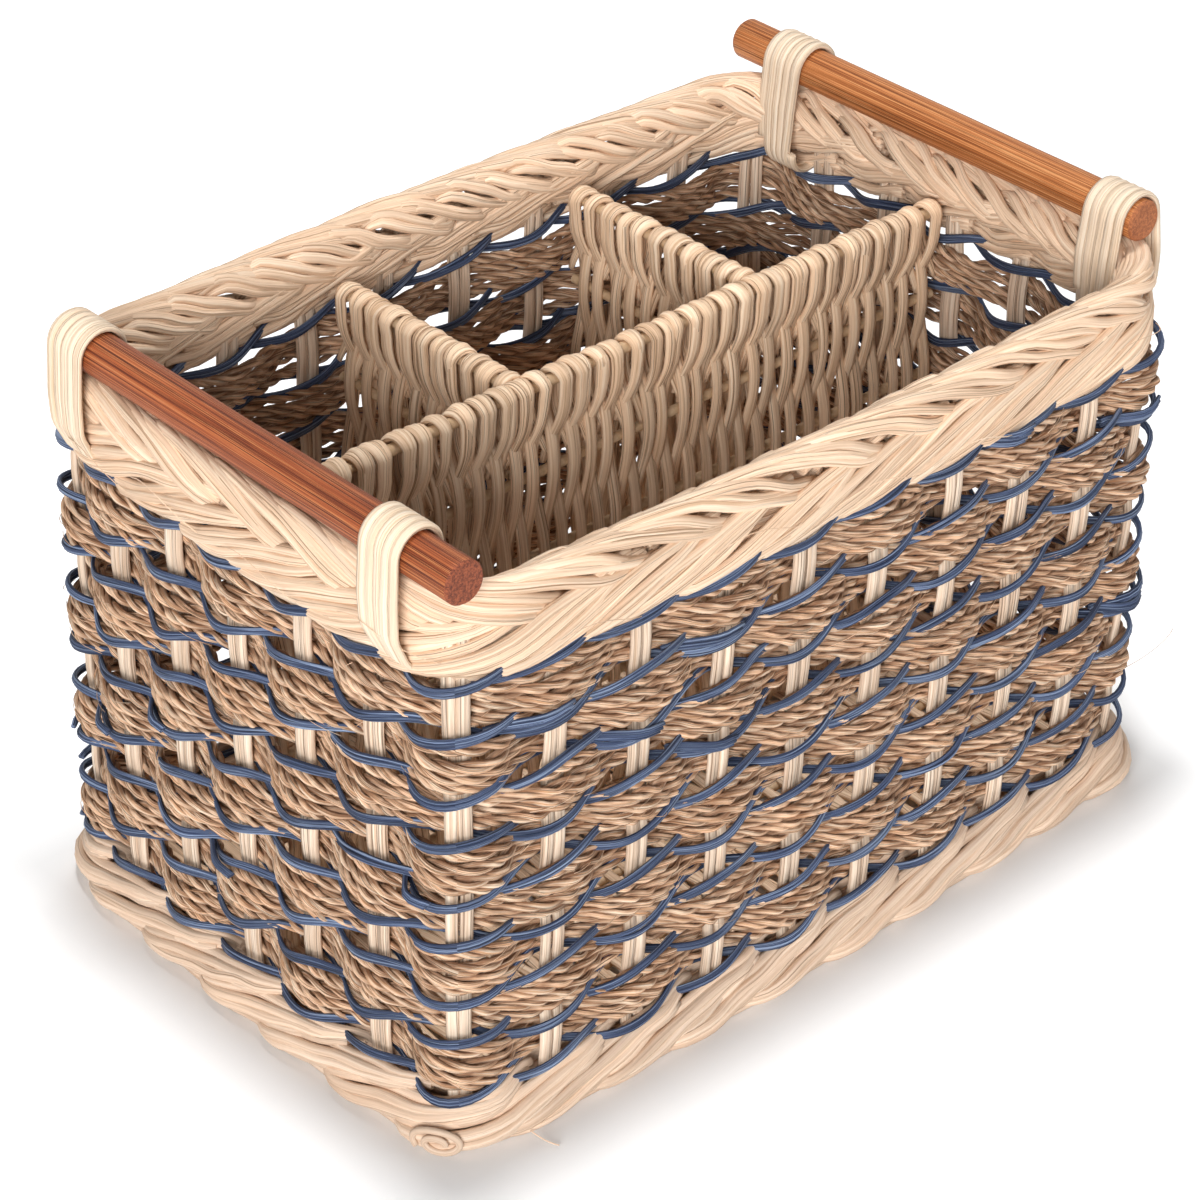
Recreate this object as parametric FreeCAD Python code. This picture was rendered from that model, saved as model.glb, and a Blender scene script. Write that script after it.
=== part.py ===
import FreeCAD, Part
import math
import os

# Cutlery basket of woven reed and rope, with four compartments and two dowel handles.
# +Z is up, +X runs along the length and -Y is the front. The origin lies in the middle
# of the underside. All sizes are in millimetres.

# Plan of the basket
basket_length = 300.0          # over the foot border, at the middle of the short sides
basket_width = 200.0           # over the foot border, at the middle of the long sides
long_side_bow = 4.0            # how far the front and the back swell out
short_side_bow = 4.0           # how far the two ends swell out
corner_radius = 15.0           # of the ring on which the stakes stand

# Stakes, each an upright pair of reeds
long_side_stakes = 8           # between two corner stakes
short_side_stakes = 5
reed_diameter = 3.3
reed_spacing = 3.5             # between the two reeds of a stake
stake_end_gap = 0.3            # to the floor and the roof of the border grooves
groove_clearance = 0.1         # beside a reed, in the border grooves
weave_clearance = 0.2          # between a reed and the weaver that passes it

# Weavers: bands of rope between twined rows of thin reed
rope_row_count = 8
rope_thickness = 4.2
rope_row_height = 13.6         # four cords, one above the other
twine_diameter = 2.75
layer_gap = 0.1                # between two rows

# Foot border
foot_height = 17.5
foot_overhang = 11.0           # outward from the ring of stakes
foot_inset = 7.0               # inward from the ring of stakes
foot_ledge_width = 5.0         # carries the base
foot_ledge_height = 6.0
foot_groove_floor = 8.0
foot_lower_radius = 5.0
foot_upper_radius = 7.0

# Rim border
rim_height = 24.5
rim_overhang = 6.0
rim_inset = 7.0
rim_lower_radius = 5.0
rim_groove_depth = 12.0

# Relief of the borders: slanted grooves between the sweeps of reeds
plait_groove_width = 4.4
plait_groove_depth = 2.4
plait_groove_length = 32.0
plait_slope_share = 0.4        # rise along the border
plait_shoulder_angle = 45.0    # degrees, of the grooves on the rounded edges
knuckle_groove_length = 11.0   # at the foot's lower edge
knuckle_slope_share = 1.2

# Base
base_thickness = 5.0
base_edge_clearance = 0.3
base_stick_diameter = 2.6
base_stick_count = 5
base_stick_setback = 1.0       # of the stick ends from the edge of the base
base_stick_pitch = 30.0

# Dividers
divider_thickness = 6.5
divider_drop = 15.5            # from the rim's top to the divider's top
divider_rod_diameter = 3.0
divider_rod_count = 5
divider_top_rod_diameter = 3.6
divider_lowest_rod = 13.0      # above the base, clear of the foot border
divider_rod_pitch = 27.5
rod_fit = 0.1                  # radial clearance of a rod or stick in its weave
divider_clearance = 0.4        # to the rim, the wall and the next divider
long_divider_place = 3.0       # along Y
cross_divider_places = {"left": -36.0, "right": 56.0}   # along X

# Dowel handles, tied on the rim
handle_diameter = 12.7
handle_setback = 6.0           # of the dowel ends from the ring of stakes, along Y
handle_chamfer = 1.0
handle_clearance = 0.3         # to the rim and to the lashings
handle_shifts = {"left": -8.0, "right": 8.0}            # along Y, as they were tied

# Lashings, each one long reed wound round handle and rim
lashing_loops = 4
lashing_diameter = 2.75
lashing_pitch = 3.2
lashing_clearance = 1.2        # to the rim
lashing_headroom = 0.3         # to the top twined row
lashing_setback = 22.6         # from the ring of stakes, along Y
lashing_sample_count = 8       # points on each bend, for the measured gap

# Sizes worked out from the ones above
up = FreeCAD.Vector(0, 0, 1)
origin = FreeCAD.Vector(0, 0, 0)
half_length = basket_length / 2 - foot_overhang
half_width = basket_width / 2 - foot_overhang
reed_radius = reed_diameter / 2
row_pitch = twine_diameter + layer_gap + rope_row_height + layer_gap
weave_bottom = foot_height + layer_gap
weave_top = weave_bottom + rope_row_count * row_pitch + twine_diameter
rim_bottom = weave_top + lashing_headroom + lashing_diameter + lashing_clearance
rim_top = rim_bottom + rim_height
rim_half = (rim_overhang + rim_inset) / 2
rim_middle = (rim_overhang - rim_inset) / 2
wall_inset = reed_radius + weave_clearance + rope_thickness
base_top = foot_ledge_height + base_thickness
divider_top = rim_top - divider_drop
handle_length = 2 * (half_width - handle_setback)
handle_radius = handle_diameter / 2
handle_height = rim_top + handle_clearance + handle_radius
lashing_place = half_width - lashing_setback


# Lines, arcs and biarcs

def unit(vector):
    return vector * (1 / vector.Length)


def arc_through(start, way, end):
    """The arc that leaves start along way and meets end: three pairs of point and way."""
    chord = end - start
    along = unit(chord)
    lead = way.dot(along)
    swell = (way - along * lead) * (chord.Length / 2 / (1 + lead))
    middle = (start + end) * 0.5 + swell
    return (start, way), (middle, along), (end, along * (2 * lead) - way)


def biarc(start, start_way, end, end_way):
    """Two arcs that join smoothly, from start to end along the given ways."""
    gap = end - start
    reach = gap.dot(start_way + end_way)
    bend = 2 * (1 - start_way.dot(end_way))
    leg = gap.dot(gap) / (reach + math.sqrt(reach ** 2 + bend * gap.dot(gap)))
    meeting = (start + start_way * leg + end - end_way * leg) * 0.5
    first = arc_through(start, start_way, meeting)
    return first, arc_through(meeting, first[2][1], end)


def edge_between(start, middle, end):
    """An arc through three points, or a straight edge where they lie in line."""
    straight_share = 1e-6
    chord = end - start
    if (middle - start).cross(chord).Length < straight_share * chord.Length ** 2:
        return Part.LineSegment(start, end).toShape()
    return Part.Arc(start, middle, end).toShape()


def rounded_outline(corners):
    """A closed wire in the XZ plane through (x, z, radius) corners."""
    points = [FreeCAD.Vector(x, 0, z) for x, z, radius in corners]
    edges = []
    last = None
    for index, (x, z, radius) in enumerate(corners):
        here = points[index]
        back = unit(points[index - 1] - here)
        onward = unit(points[(index + 1) % len(points)] - here)
        cut = radius / math.tan(back.getAngle(onward) / 2)
        start, middle, end = here + back * cut, here, here + onward * cut
        if radius > 0:
            middle = arc_through(start, back * -1, end)[1][0]
            edges.append(edge_between(start, middle, end))
        if index == 0:
            first = start
        else:
            edges.append(Part.LineSegment(last, start).toShape())
        last = end
    edges.append(Part.LineSegment(last, first).toShape())
    return Part.Wire(Part.__sortEdges__(edges))


# Ring of stakes: four bowed sides joined by round corners

def bowed_radius(half_span, bow):
    return (half_span ** 2 + bow ** 2) / (2 * bow)


def ring_of_arcs():
    """The eight arcs of the ring, anticlockwise from the front: centre, radius, start, sweep."""
    long_radius = bowed_radius(half_length, long_side_bow)
    short_radius = bowed_radius(half_width, short_side_bow)
    long_centre = FreeCAD.Vector(0, long_radius - half_width, 0)
    short_centre = FreeCAD.Vector(half_length - short_radius, 0, 0)
    # The corner circle touches both sides from within, so its centre lies at known distances.
    to_long = long_radius - corner_radius
    to_short = short_radius - corner_radius
    between = short_centre - long_centre
    along = (to_long ** 2 - to_short ** 2 + between.Length ** 2) / (2 * between.Length)
    aside = math.sqrt(to_long ** 2 - along ** 2)
    sideways = up.cross(unit(between)) * -1
    ways = [long_centre + unit(between) * along + sideways * (aside * sign) for sign in (1, -1)]
    corner = max(ways, key=lambda point: point.x - point.y)
    long_half = math.asin(corner.x / to_long)
    short_half = math.asin(-corner.y / to_short)
    corner_sweep = math.pi / 2 - long_half - short_half
    arcs = []
    for turn in range(4):
        facing = turn * math.pi / 2 - math.pi / 2
        is_long = turn % 2 == 0
        half = long_half if is_long else short_half
        radius = long_radius if is_long else short_radius
        inset = (half_width if is_long else half_length) - radius
        centre = FreeCAD.Vector(math.cos(facing), math.sin(facing), 0) * inset
        arcs.append((centre, radius, facing - half, 2 * half))
        side_x = 1 if turn in (0, 1) else -1
        side_y = 1 if turn in (1, 2) else -1
        corner_centre = FreeCAD.Vector(side_x * abs(corner.x), side_y * abs(corner.y), 0)
        arcs.append((corner_centre, corner_radius, facing + half, corner_sweep))
    return arcs


ring_arcs = ring_of_arcs()


def ring_spot(distance):
    """Point, outward normal and anticlockwise way at a distance along the ring."""
    lengths = [radius * sweep for centre, radius, start, sweep in ring_arcs]
    distance %= sum(lengths)
    for (centre, radius, start, sweep), length in zip(ring_arcs, lengths):
        if distance <= length:
            break
        distance -= length
    angle = start + distance / radius
    normal = FreeCAD.Vector(math.cos(angle), math.sin(angle), 0)
    return centre + normal * radius, normal, up.cross(normal)


def end_reach(y):
    """Distance from the middle of the basket to the ring, along X."""
    centre, radius = ring_arcs[2][0], ring_arcs[2][1]
    return centre.x + math.sqrt(radius ** 2 - y ** 2)


def back_reach(x):
    """Distance from the middle of the basket to the ring, along Y."""
    centre, radius = ring_arcs[4][0], ring_arcs[4][1]
    return centre.y + math.sqrt(radius ** 2 - x ** 2)


def stake_spots():
    """All stakes, anticlockwise from the front left corner, with the name of their group."""
    side, corner = ring_arcs[0], ring_arcs[1]
    long_length = side[1] * side[3]
    short_length = ring_arcs[2][1] * ring_arcs[2][3]
    corner_length = corner[1] * corner[3]
    spots = []
    distance = -corner_length / 2
    for name in ("front", "right", "back", "left"):
        is_long = name in ("front", "back")
        steps = (long_side_stakes if is_long else short_side_stakes) + 1
        span = (long_length if is_long else short_length) + corner_length
        for step in range(steps):
            group = "corner" if step == 0 else name
            spots.append((group, ring_spot(distance + span * step / steps)))
        distance += span
    return spots


stakes = stake_spots()


def ring_solid(corners):
    """Carries a closed profile of (offset, height, rounding) corners round the ring."""
    face = Part.Face(rounded_outline(corners))
    lengths_of_ring = []
    for centre, radius, start, sweep in ring_arcs:
        piece = face.translated(FreeCAD.Vector(radius, 0, 0))
        piece = piece.revolve(origin, up, math.degrees(sweep))
        piece.rotate(origin, up, math.degrees(start))
        piece.translate(centre)
        lengths_of_ring.append(piece)
    return lengths_of_ring[0].fuse(lengths_of_ring[1:])


# Woven wall

def weaver(row, swing, thickness, bottom, height):
    """A band that passes outside one stake and inside the next, all round the basket."""
    knots = []
    for index, (group, (point, normal, way)) in enumerate(stakes):
        side = 1 if (index + row) % 2 else -1
        knots.append((point + normal * (swing * side), way))
    arcs = []
    for index, (point, way) in enumerate(knots):
        following, following_way = knots[(index + 1) % len(knots)]
        arcs += biarc(point, way, following, following_way)
    wires = []
    for offset in (thickness / 2, -thickness / 2):
        edges = []
        for arc in arcs:
            points = [point + way.cross(up) * offset for point, way in arc]
            edges.append(edge_between(*points))
        wires.append(Part.Wire(edges))
    face = Part.makeFace(wires, "Part::FaceMakerBullseye")
    face.translate(up * bottom)
    return face.extrude(up * height)


def rope_row(row):
    swing = reed_radius + weave_clearance + rope_thickness / 2
    bottom = weave_bottom + (row - 1) * row_pitch + twine_diameter + layer_gap
    return weaver(row, swing, rope_thickness, bottom, rope_row_height)


def twined_row(row):
    """Two strands that change sides between the stakes, with an eye for every stake."""
    swing = reed_radius + weave_clearance + twine_diameter / 2
    bottom = weave_bottom + (row - 1) * row_pitch
    strands = [weaver(phase, swing, twine_diameter, bottom, twine_diameter) for phase in (0, 1)]
    return strands[0].fuse(strands[1]).removeSplitter()


def stake_group(name):
    bottom = foot_groove_floor + stake_end_gap
    top = rim_bottom + rim_groove_depth - stake_end_gap
    reeds = []
    for group, (point, normal, way) in stakes:
        if group != name:
            continue
        for side in (-0.5, 0.5):
            foot = point + way * (side * reed_spacing) + up * bottom
            reeds.append(Part.makeCylinder(reed_radius, top - bottom, foot, up))
    return Part.makeCompound(reeds)


# Borders and base

def plait_groove(spot, out, height, facing, slope, length):
    """A three-sided bar along a border's face, facing at an angle above level, rising by slope."""
    point, normal, way = spot
    angle = math.radians(facing)
    face_way = normal * math.cos(angle) + up * math.sin(angle)
    rise_way = up * math.cos(angle) - normal * math.sin(angle)
    along = unit(way + rise_way * slope)
    across = along.cross(face_way)
    start = point + normal * out + up * height - along * (length / 2)
    outer = start + face_way * plait_groove_depth
    corners = [start - face_way * plait_groove_depth, outer + across * plait_groove_width,
               outer - across * plait_groove_width]
    return Part.Face(Part.makePolygon(corners + corners[:1])).extrude(along * length)


def foot_border():
    groove = reed_radius + groove_clearance
    ledge = foot_inset + foot_ledge_width
    border = ring_solid([
        (-ledge, 0, 0),
        (foot_overhang, 0, foot_lower_radius),
        (foot_overhang, foot_height, foot_upper_radius),
        (groove, foot_height, 0),
        (groove, foot_groove_floor, 0),
        (-groove, foot_groove_floor, 0),
        (-groove, foot_height, 0),
        (-foot_inset, foot_height, 0),
        (-foot_inset, foot_ledge_height, 0),
        (-ledge, foot_ledge_height, 0),
    ])
    turned = math.sin(math.radians(plait_shoulder_angle))
    upper_out = foot_overhang - foot_upper_radius * (1 - turned)
    upper_height = foot_height - foot_upper_radius * (1 - turned)
    lower_out = foot_overhang - foot_lower_radius * (1 - turned)
    lower_height = foot_lower_radius * (1 - turned)
    bars = []
    for group, spot in stakes:
        bars.append(plait_groove(spot, upper_out, upper_height, plait_shoulder_angle,
                                 plait_slope_share, plait_groove_length))
        bars.append(plait_groove(spot, lower_out, lower_height, -plait_shoulder_angle,
                                 knuckle_slope_share, knuckle_groove_length))
    return border.cut(bars)


def rim_border():
    groove = reed_radius + groove_clearance
    groove_roof = rim_bottom + rim_groove_depth
    near_half_share = 0.98
    border = ring_solid([
        (groove, rim_bottom, 0),
        (rim_overhang, rim_bottom, rim_lower_radius),
        (rim_overhang, rim_top, rim_half * near_half_share),
        (-rim_inset, rim_top, rim_half * near_half_share),
        (-rim_inset, rim_bottom, rim_lower_radius),
        (-groove, rim_bottom, 0),
        (-groove, groove_roof, 0),
        (groove, groove_roof, 0),
    ])
    turned = math.sin(math.radians(plait_shoulder_angle))
    shoulder_drop = rim_half * near_half_share * (1 - turned)
    shoulder_height = rim_top - shoulder_drop
    lower_height = rim_bottom + rim_lower_radius
    bars = []
    for group, spot in stakes:
        bars.append(plait_groove(spot, rim_overhang, lower_height, 0,
                                 plait_slope_share, plait_groove_length))
        bars.append(plait_groove(spot, rim_overhang - shoulder_drop, shoulder_height,
                                 plait_shoulder_angle, -plait_slope_share, plait_groove_length))
        if group != "corner":
            bars.append(plait_groove(spot, shoulder_drop - rim_inset, shoulder_height,
                                     math.degrees(math.pi) - plait_shoulder_angle,
                                     -plait_slope_share, plait_groove_length))
    return border.cut(bars)


def base_stick_places():
    first = -(base_stick_count - 1) / 2
    return [(first + index) * base_stick_pitch for index in range(base_stick_count)]


def base_weave():
    inset = foot_inset + base_edge_clearance
    edges = []
    for centre, radius, start, sweep in ring_arcs:
        angles = (start, start + sweep / 2, start + sweep)
        normals = [FreeCAD.Vector(math.cos(angle), math.sin(angle), 0) for angle in angles]
        edges.append(Part.Arc(*[centre + normal * (radius - inset) for normal in normals]).toShape())
    face = Part.Face(Part.Wire(edges))
    face.translate(up * foot_ledge_height)
    plate = face.extrude(up * base_thickness)
    bore = base_stick_diameter / 2 + rod_fit
    for y in base_stick_places():
        start = FreeCAD.Vector(-half_length, y, foot_ledge_height + base_thickness / 2)
        plate = plate.cut(Part.makeCylinder(bore, 2 * half_length, start, FreeCAD.Vector(1, 0, 0)))
    return plate


def base_sticks():
    sticks = []
    for y in base_stick_places():
        reach = end_reach(y) - foot_inset - base_edge_clearance - base_stick_setback
        start = FreeCAD.Vector(-reach, y, foot_ledge_height + base_thickness / 2)
        way = FreeCAD.Vector(1, 0, 0)
        sticks.append(Part.makeCylinder(base_stick_diameter / 2, 2 * reach, start, way))
    return Part.makeCompound(sticks)


# Dividers

def rod_along(diameter, start, end, height):
    place = FreeCAD.Vector(start, 0, height)
    return Part.makeCylinder(diameter / 2, end - start, place, FreeCAD.Vector(1, 0, 0))


def divider(start, end, rod_start, rod_end):
    """Woven panel, its rods and its top rod, lying along X before they are put in place."""
    half = divider_thickness / 2
    shoulder = divider_top - half
    heights = [base_top + divider_lowest_rod + index * divider_rod_pitch
               for index in range(divider_rod_count)]
    low_front = FreeCAD.Vector(start, -half, base_top)
    high_front = FreeCAD.Vector(start, -half, shoulder)
    crown = FreeCAD.Vector(start, 0, divider_top)
    high_back = FreeCAD.Vector(start, half, shoulder)
    low_back = FreeCAD.Vector(start, half, base_top)
    outline = Part.Wire([
        Part.LineSegment(low_front, high_front).toShape(),
        Part.Arc(high_front, crown, high_back).toShape(),
        Part.LineSegment(high_back, low_back).toShape(),
        Part.LineSegment(low_back, low_front).toShape(),
    ])
    weave = Part.Face(outline).extrude(FreeCAD.Vector(end - start, 0, 0))
    for height in heights:
        weave = weave.cut(rod_along(divider_rod_diameter + 2 * rod_fit, start, end, height))
    weave = weave.cut(rod_along(divider_top_rod_diameter + 2 * rod_fit, start, end, shoulder))
    rods = [rod_along(divider_rod_diameter, rod_start, rod_end, height) for height in heights]
    return {
        "weave": weave,
        "rods": Part.makeCompound(rods),
        "top_rod": rod_along(divider_top_rod_diameter, start, end, shoulder),
    }


def long_divider():
    end = end_reach(long_divider_place) - rim_inset - divider_clearance
    rod_end = end_reach(long_divider_place) - wall_inset - divider_clearance
    pieces = divider(-end, end, -rod_end, rod_end)
    for shape in pieces.values():
        shape.translate(FreeCAD.Vector(0, long_divider_place, 0))
    return pieces


def cross_divider(place):
    start = long_divider_place + divider_thickness / 2 + divider_clearance
    end = back_reach(place) - rim_inset - divider_clearance
    rod_end = back_reach(place) - wall_inset - divider_clearance
    pieces = divider(start, end, start, rod_end)
    for shape in pieces.values():
        shape.rotate(origin, up, 90)
        shape.translate(FreeCAD.Vector(place, 0, 0))
    return pieces


# Handles and their lashings

def handle_distance():
    """Of a handle's axis from the middle of the basket, along X: over the rim's middle."""
    return end_reach(lashing_place) + rim_middle


def handle(side, shift):
    start = FreeCAD.Vector(side * handle_distance(), shift - handle_length / 2, handle_height)
    dowel = Part.makeCylinder(handle_radius, handle_length, start, FreeCAD.Vector(0, 1, 0))
    ends = [edge for edge in dowel.Edges if edge.isClosed()]
    return dowel.makeChamfer(handle_chamfer, ends)


def belt_round(circles):
    """A belt clockwise round circles (x, z, radius): for each its arrival, departure and sweep."""
    normals = []
    for index, (x, z, radius) in enumerate(circles):
        next_x, next_z, next_radius = circles[(index + 1) % len(circles)]
        span = math.hypot(next_x - x, next_z - z)
        slope = math.atan2(next_z - z, next_x - x)
        normals.append(slope + math.acos((radius - next_radius) / span))
    turns = []
    for index, circle in enumerate(circles):
        sweep = (normals[index - 1] - normals[index]) % (2 * math.pi)
        turns.append((circle, normals[index - 1], sweep))
    return turns


def lashing_belt():
    """The circles that a lashing bends round, beginning inside the rim and rising."""
    middle = end_reach(lashing_place) + rim_middle
    round_rim = lashing_clearance + lashing_diameter / 2
    corner_height = rim_bottom + rim_lower_radius
    corner_shift = rim_half - rim_lower_radius
    arch = (middle, rim_top - rim_half, rim_half + round_rim)
    dowel = (handle_distance(), handle_height,
             handle_radius + handle_clearance + lashing_diameter / 2)
    outer = (middle + corner_shift, corner_height, rim_lower_radius + round_rim)
    inner = (middle - corner_shift, corner_height, rim_lower_radius + round_rim)
    return belt_round([arch, dowel, arch, outer, inner])


def lashing_knots(side, centre):
    """Points and ways along the wound reed; a loop moves it on by one pitch along Y."""
    turns = lashing_belt()
    flat = []
    for circle, arrival, sweep in turns:
        x, z, radius = circle
        pieces = max(1, math.ceil(sweep / (math.pi / 2)))
        for piece in range(pieces + 1):
            angle = arrival - sweep * piece / pieces
            spot = (x + radius * math.cos(angle), z + radius * math.sin(angle))
            step = 0 if piece == 0 else radius * sweep / pieces
            flat.append((spot, (math.sin(angle), -math.cos(angle)), step, piece > 0))
    # The loop begins and ends half way up the straight run inside the rim.
    first_spot, last_spot = flat[0][0], flat[-1][0]
    half_way = tuple((a + b) / 2 for a, b in zip(first_spot, last_spot))
    loop = flat + [(half_way, flat[0][1], 0, False)]
    travel = 0
    stations = []
    previous = half_way
    for spot, way, step, bent in loop:
        travel += step if bent else math.dist(previous, spot)
        stations.append((spot, way, travel, bent))
        previous = spot
    climb = lashing_pitch / travel
    slant = 1 / math.hypot(1, climb)
    start_y = centre - lashing_loops * lashing_pitch / 2
    knots = [(half_way, loop[-1][1], 0, False)]
    for turn in range(lashing_loops):
        knots += [(spot, way, turn * travel + run, bent) for spot, way, run, bent in stations]
    placed = []
    for spot, way, run, bent in knots:
        point = FreeCAD.Vector(side * spot[0], start_y + climb * run, spot[1])
        direction = FreeCAD.Vector(side * way[0], climb, way[1]) * slant
        placed.append((point, direction, bent))
    return placed


def lashing(name, side, centre):
    """One unbroken reed in loops round handle and rim."""
    knots = lashing_knots(side, centre)
    edges = []
    for (start, start_way, was_bent), (end, end_way, bent) in zip(knots, knots[1:]):
        if bent:
            for arc in biarc(start, start_way, end, end_way):
                edges.append(edge_between(arc[0][0], arc[1][0], arc[2][0]))
        else:
            edges.append(Part.LineSegment(start, end).toShape())
    path = Part.Wire(edges)
    profile = Part.Wire(Part.Circle(knots[0][0], knots[0][1], lashing_diameter / 2).toShape())
    print(name, "least gap to itself", round(least_gap(edges), 3))
    return path.makePipeShell([profile], True, False)


def least_gap(edges):
    """Between the surfaces of neighbouring loops, measured on points along the reed."""
    points = []
    run = 0
    for edge in edges:
        for point in edge.discretize(lashing_sample_count)[1:]:
            points.append((run, point))
        run += edge.Length
    loop_run = run / lashing_loops
    apart_share = 0.5
    least = min(a.distanceToPoint(b) for run_a, a in points for run_b, b in points
                if run_b - run_a > loop_run * apart_share)
    return least - lashing_diameter


# All pieces by name

def build():
    pieces = {
        "foot_border": foot_border(),
        "rim_border": rim_border(),
        "base_weave": base_weave(),
        "base_sticks": base_sticks(),
    }
    for group in ("front", "right", "back", "left", "corner"):
        pieces["stakes_" + group] = stake_group(group)
    for row in range(1, rope_row_count + 1):
        pieces["rope_row_%d" % row] = rope_row(row)
    for row in range(1, rope_row_count + 2):
        pieces["twined_row_%d" % row] = twined_row(row)
    for kind, shape in long_divider().items():
        pieces["long_divider_" + kind] = shape
    for place_name, place in cross_divider_places.items():
        for kind, shape in cross_divider(place).items():
            pieces["cross_divider_%s_%s" % (place_name, kind)] = shape
    for side_name, side in (("left", -1), ("right", 1)):
        pieces["handle_" + side_name] = handle(side, handle_shifts[side_name])
        for end_name, centre in (("front", -lashing_place), ("back", lashing_place)):
            name = "lashing_%s_%s" % (side_name, end_name)
            pieces[name] = lashing(name, side, centre)
    return pieces


def main():
    os.makedirs("parts", exist_ok=True)
    for name, shape in build().items():
        shape.exportStep("parts/%s.step" % name)
        print(name, "solids", len(shape.Solids), "valid", shape.isValid(), "volume", round(shape.Volume))


main()
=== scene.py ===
import math

import bmesh
import bpy
import numpy as np
from mathutils import Matrix, Vector


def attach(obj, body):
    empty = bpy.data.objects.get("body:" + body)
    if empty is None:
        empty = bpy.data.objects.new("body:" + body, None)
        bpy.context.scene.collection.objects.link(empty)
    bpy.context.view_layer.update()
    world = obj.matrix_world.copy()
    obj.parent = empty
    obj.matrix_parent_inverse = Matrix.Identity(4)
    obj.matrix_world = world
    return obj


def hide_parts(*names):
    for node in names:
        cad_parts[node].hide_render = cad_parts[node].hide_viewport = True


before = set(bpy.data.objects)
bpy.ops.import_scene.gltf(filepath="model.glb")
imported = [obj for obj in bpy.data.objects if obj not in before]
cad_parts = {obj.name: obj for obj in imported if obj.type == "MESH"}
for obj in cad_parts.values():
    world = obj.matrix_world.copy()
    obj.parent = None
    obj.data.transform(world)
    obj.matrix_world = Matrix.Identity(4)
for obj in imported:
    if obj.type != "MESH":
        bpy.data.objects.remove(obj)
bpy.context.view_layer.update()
scene = bpy.context.scene
chance = np.random.default_rng(11)
tau = 2 * math.pi

# Plan of the basket, in metres: the ring that the stakes stand on
half_length, half_width = 0.139, 0.089
side_bow, corner_radius, rim_corner_radius = 0.004, 0.015, 0.023
stakes_per_side = (9, 6, 9, 6)          # each with the corner stake that begins it
stake_count = sum(stakes_per_side)

# Rows and heights
rope_rows = 8
twined_rows = rope_rows + 1
row_pitch = 0.01655
first_twined_row = 0.018975
first_rope_row = 0.02725
base_top = 0.011
divider_top = 0.166
first_rod, rod_pitch = 0.024, 0.0275
handle_place, handle_height = 0.13628, 0.18815


class Ring:
    """A closed line of arcs round the basket, anticlockwise from the near corner."""

    def __init__(self, corner):
        long_radius = (half_length ** 2 + side_bow ** 2) / (2 * side_bow)
        short_radius = (half_width ** 2 + side_bow ** 2) / (2 * side_bow)
        long_inner, short_inner = long_radius - corner, short_radius - corner
        x, y = half_length - corner, half_width - corner
        for step in range(20):
            x = math.sqrt(short_inner ** 2 - y ** 2) - short_radius + half_length
            y = math.sqrt(long_inner ** 2 - x ** 2) - long_radius + half_width
        long_half, short_half = math.asin(x / long_inner), math.asin(y / short_inner)
        arcs = []
        for turn in range(4):
            facing = (turn - 1) * math.pi / 2
            half, radius, reach = ((long_half, long_radius, half_width),
                                   (short_half, short_radius, half_length))[turn % 2]
            inset = reach - radius
            arcs.append((inset * math.cos(facing), inset * math.sin(facing), radius,
                         facing - half, 2 * half))
            arcs.append((x if turn < 2 else -x, y if turn in (1, 2) else -y, corner,
                         facing + half, math.pi / 2 - long_half - short_half))
        self.arcs = np.array(arcs)
        self.runs = self.arcs[:, 2] * self.arcs[:, 4]
        self.ends = np.cumsum(self.runs)
        self.stakes = [-self.runs[1] / 2]
        for side, steps in enumerate(stakes_per_side):
            for step in range(steps):
                self.stakes.append(self.stakes[-1] + (self.runs[2 * side] + self.runs[1]) / steps)

    def at(self, place):
        """Points and directions outward at places counted in stakes."""
        run = np.interp(place % stake_count, np.arange(stake_count + 1), self.stakes) % self.ends[-1]
        which = np.minimum(np.searchsorted(self.ends, run), len(self.ends) - 1)
        arc = self.arcs[which]
        angle = arc[:, 3] + (run - self.ends[which] + self.runs[which]) / arc[:, 2]
        outward = np.column_stack([np.cos(angle), np.sin(angle)])
        return arc[:, :2] + outward * arc[:, 2:3], outward


wall_ring, rim_ring = Ring(corner_radius), Ring(rim_corner_radius)


def wall(place, out, high, ring=wall_ring):
    """Points at places counted in stakes round the wall, out from the ring, above the floor."""
    spot, outward = ring.at(place)
    even = np.ones(len(place))
    return np.column_stack([spot + outward * (out * even)[:, None], high * even])


def drift(place, size, least=4, most=40):
    """A slow unevenness that closes on itself round the basket."""
    total = np.zeros(len(place))
    for wave in chance.integers(least, most, 4):
        total += np.sin(place / stake_count * tau * wave + chance.uniform(0, tau))
    return total * size / 2


def ease(share):
    """Smooth step from 0 to 1."""
    share = np.clip(share, 0, 1)
    return share * share * (3 - 2 * share)


# Strands: reeds, canes and plies, each along its own path

# Where the painted shade in the clefts begins beside a cord's core and how wide it is, in ply thicknesses
cleft_shade_start, ply_cleft_shade, cord_cleft_shade = 0.55, 0.45, 0.40


def flat_section(width, depth, ridges=0.06, sides=10):
    """Outline of a reed that is broader than deep, with shallow ridges."""
    angle = np.arange(sides) * tau / sides
    size = 1 + ridges * np.cos(angle * sides / 2)
    return np.column_stack([np.cos(angle) * width / 2 * size, np.sin(angle) * depth / 2 * size])


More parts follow.
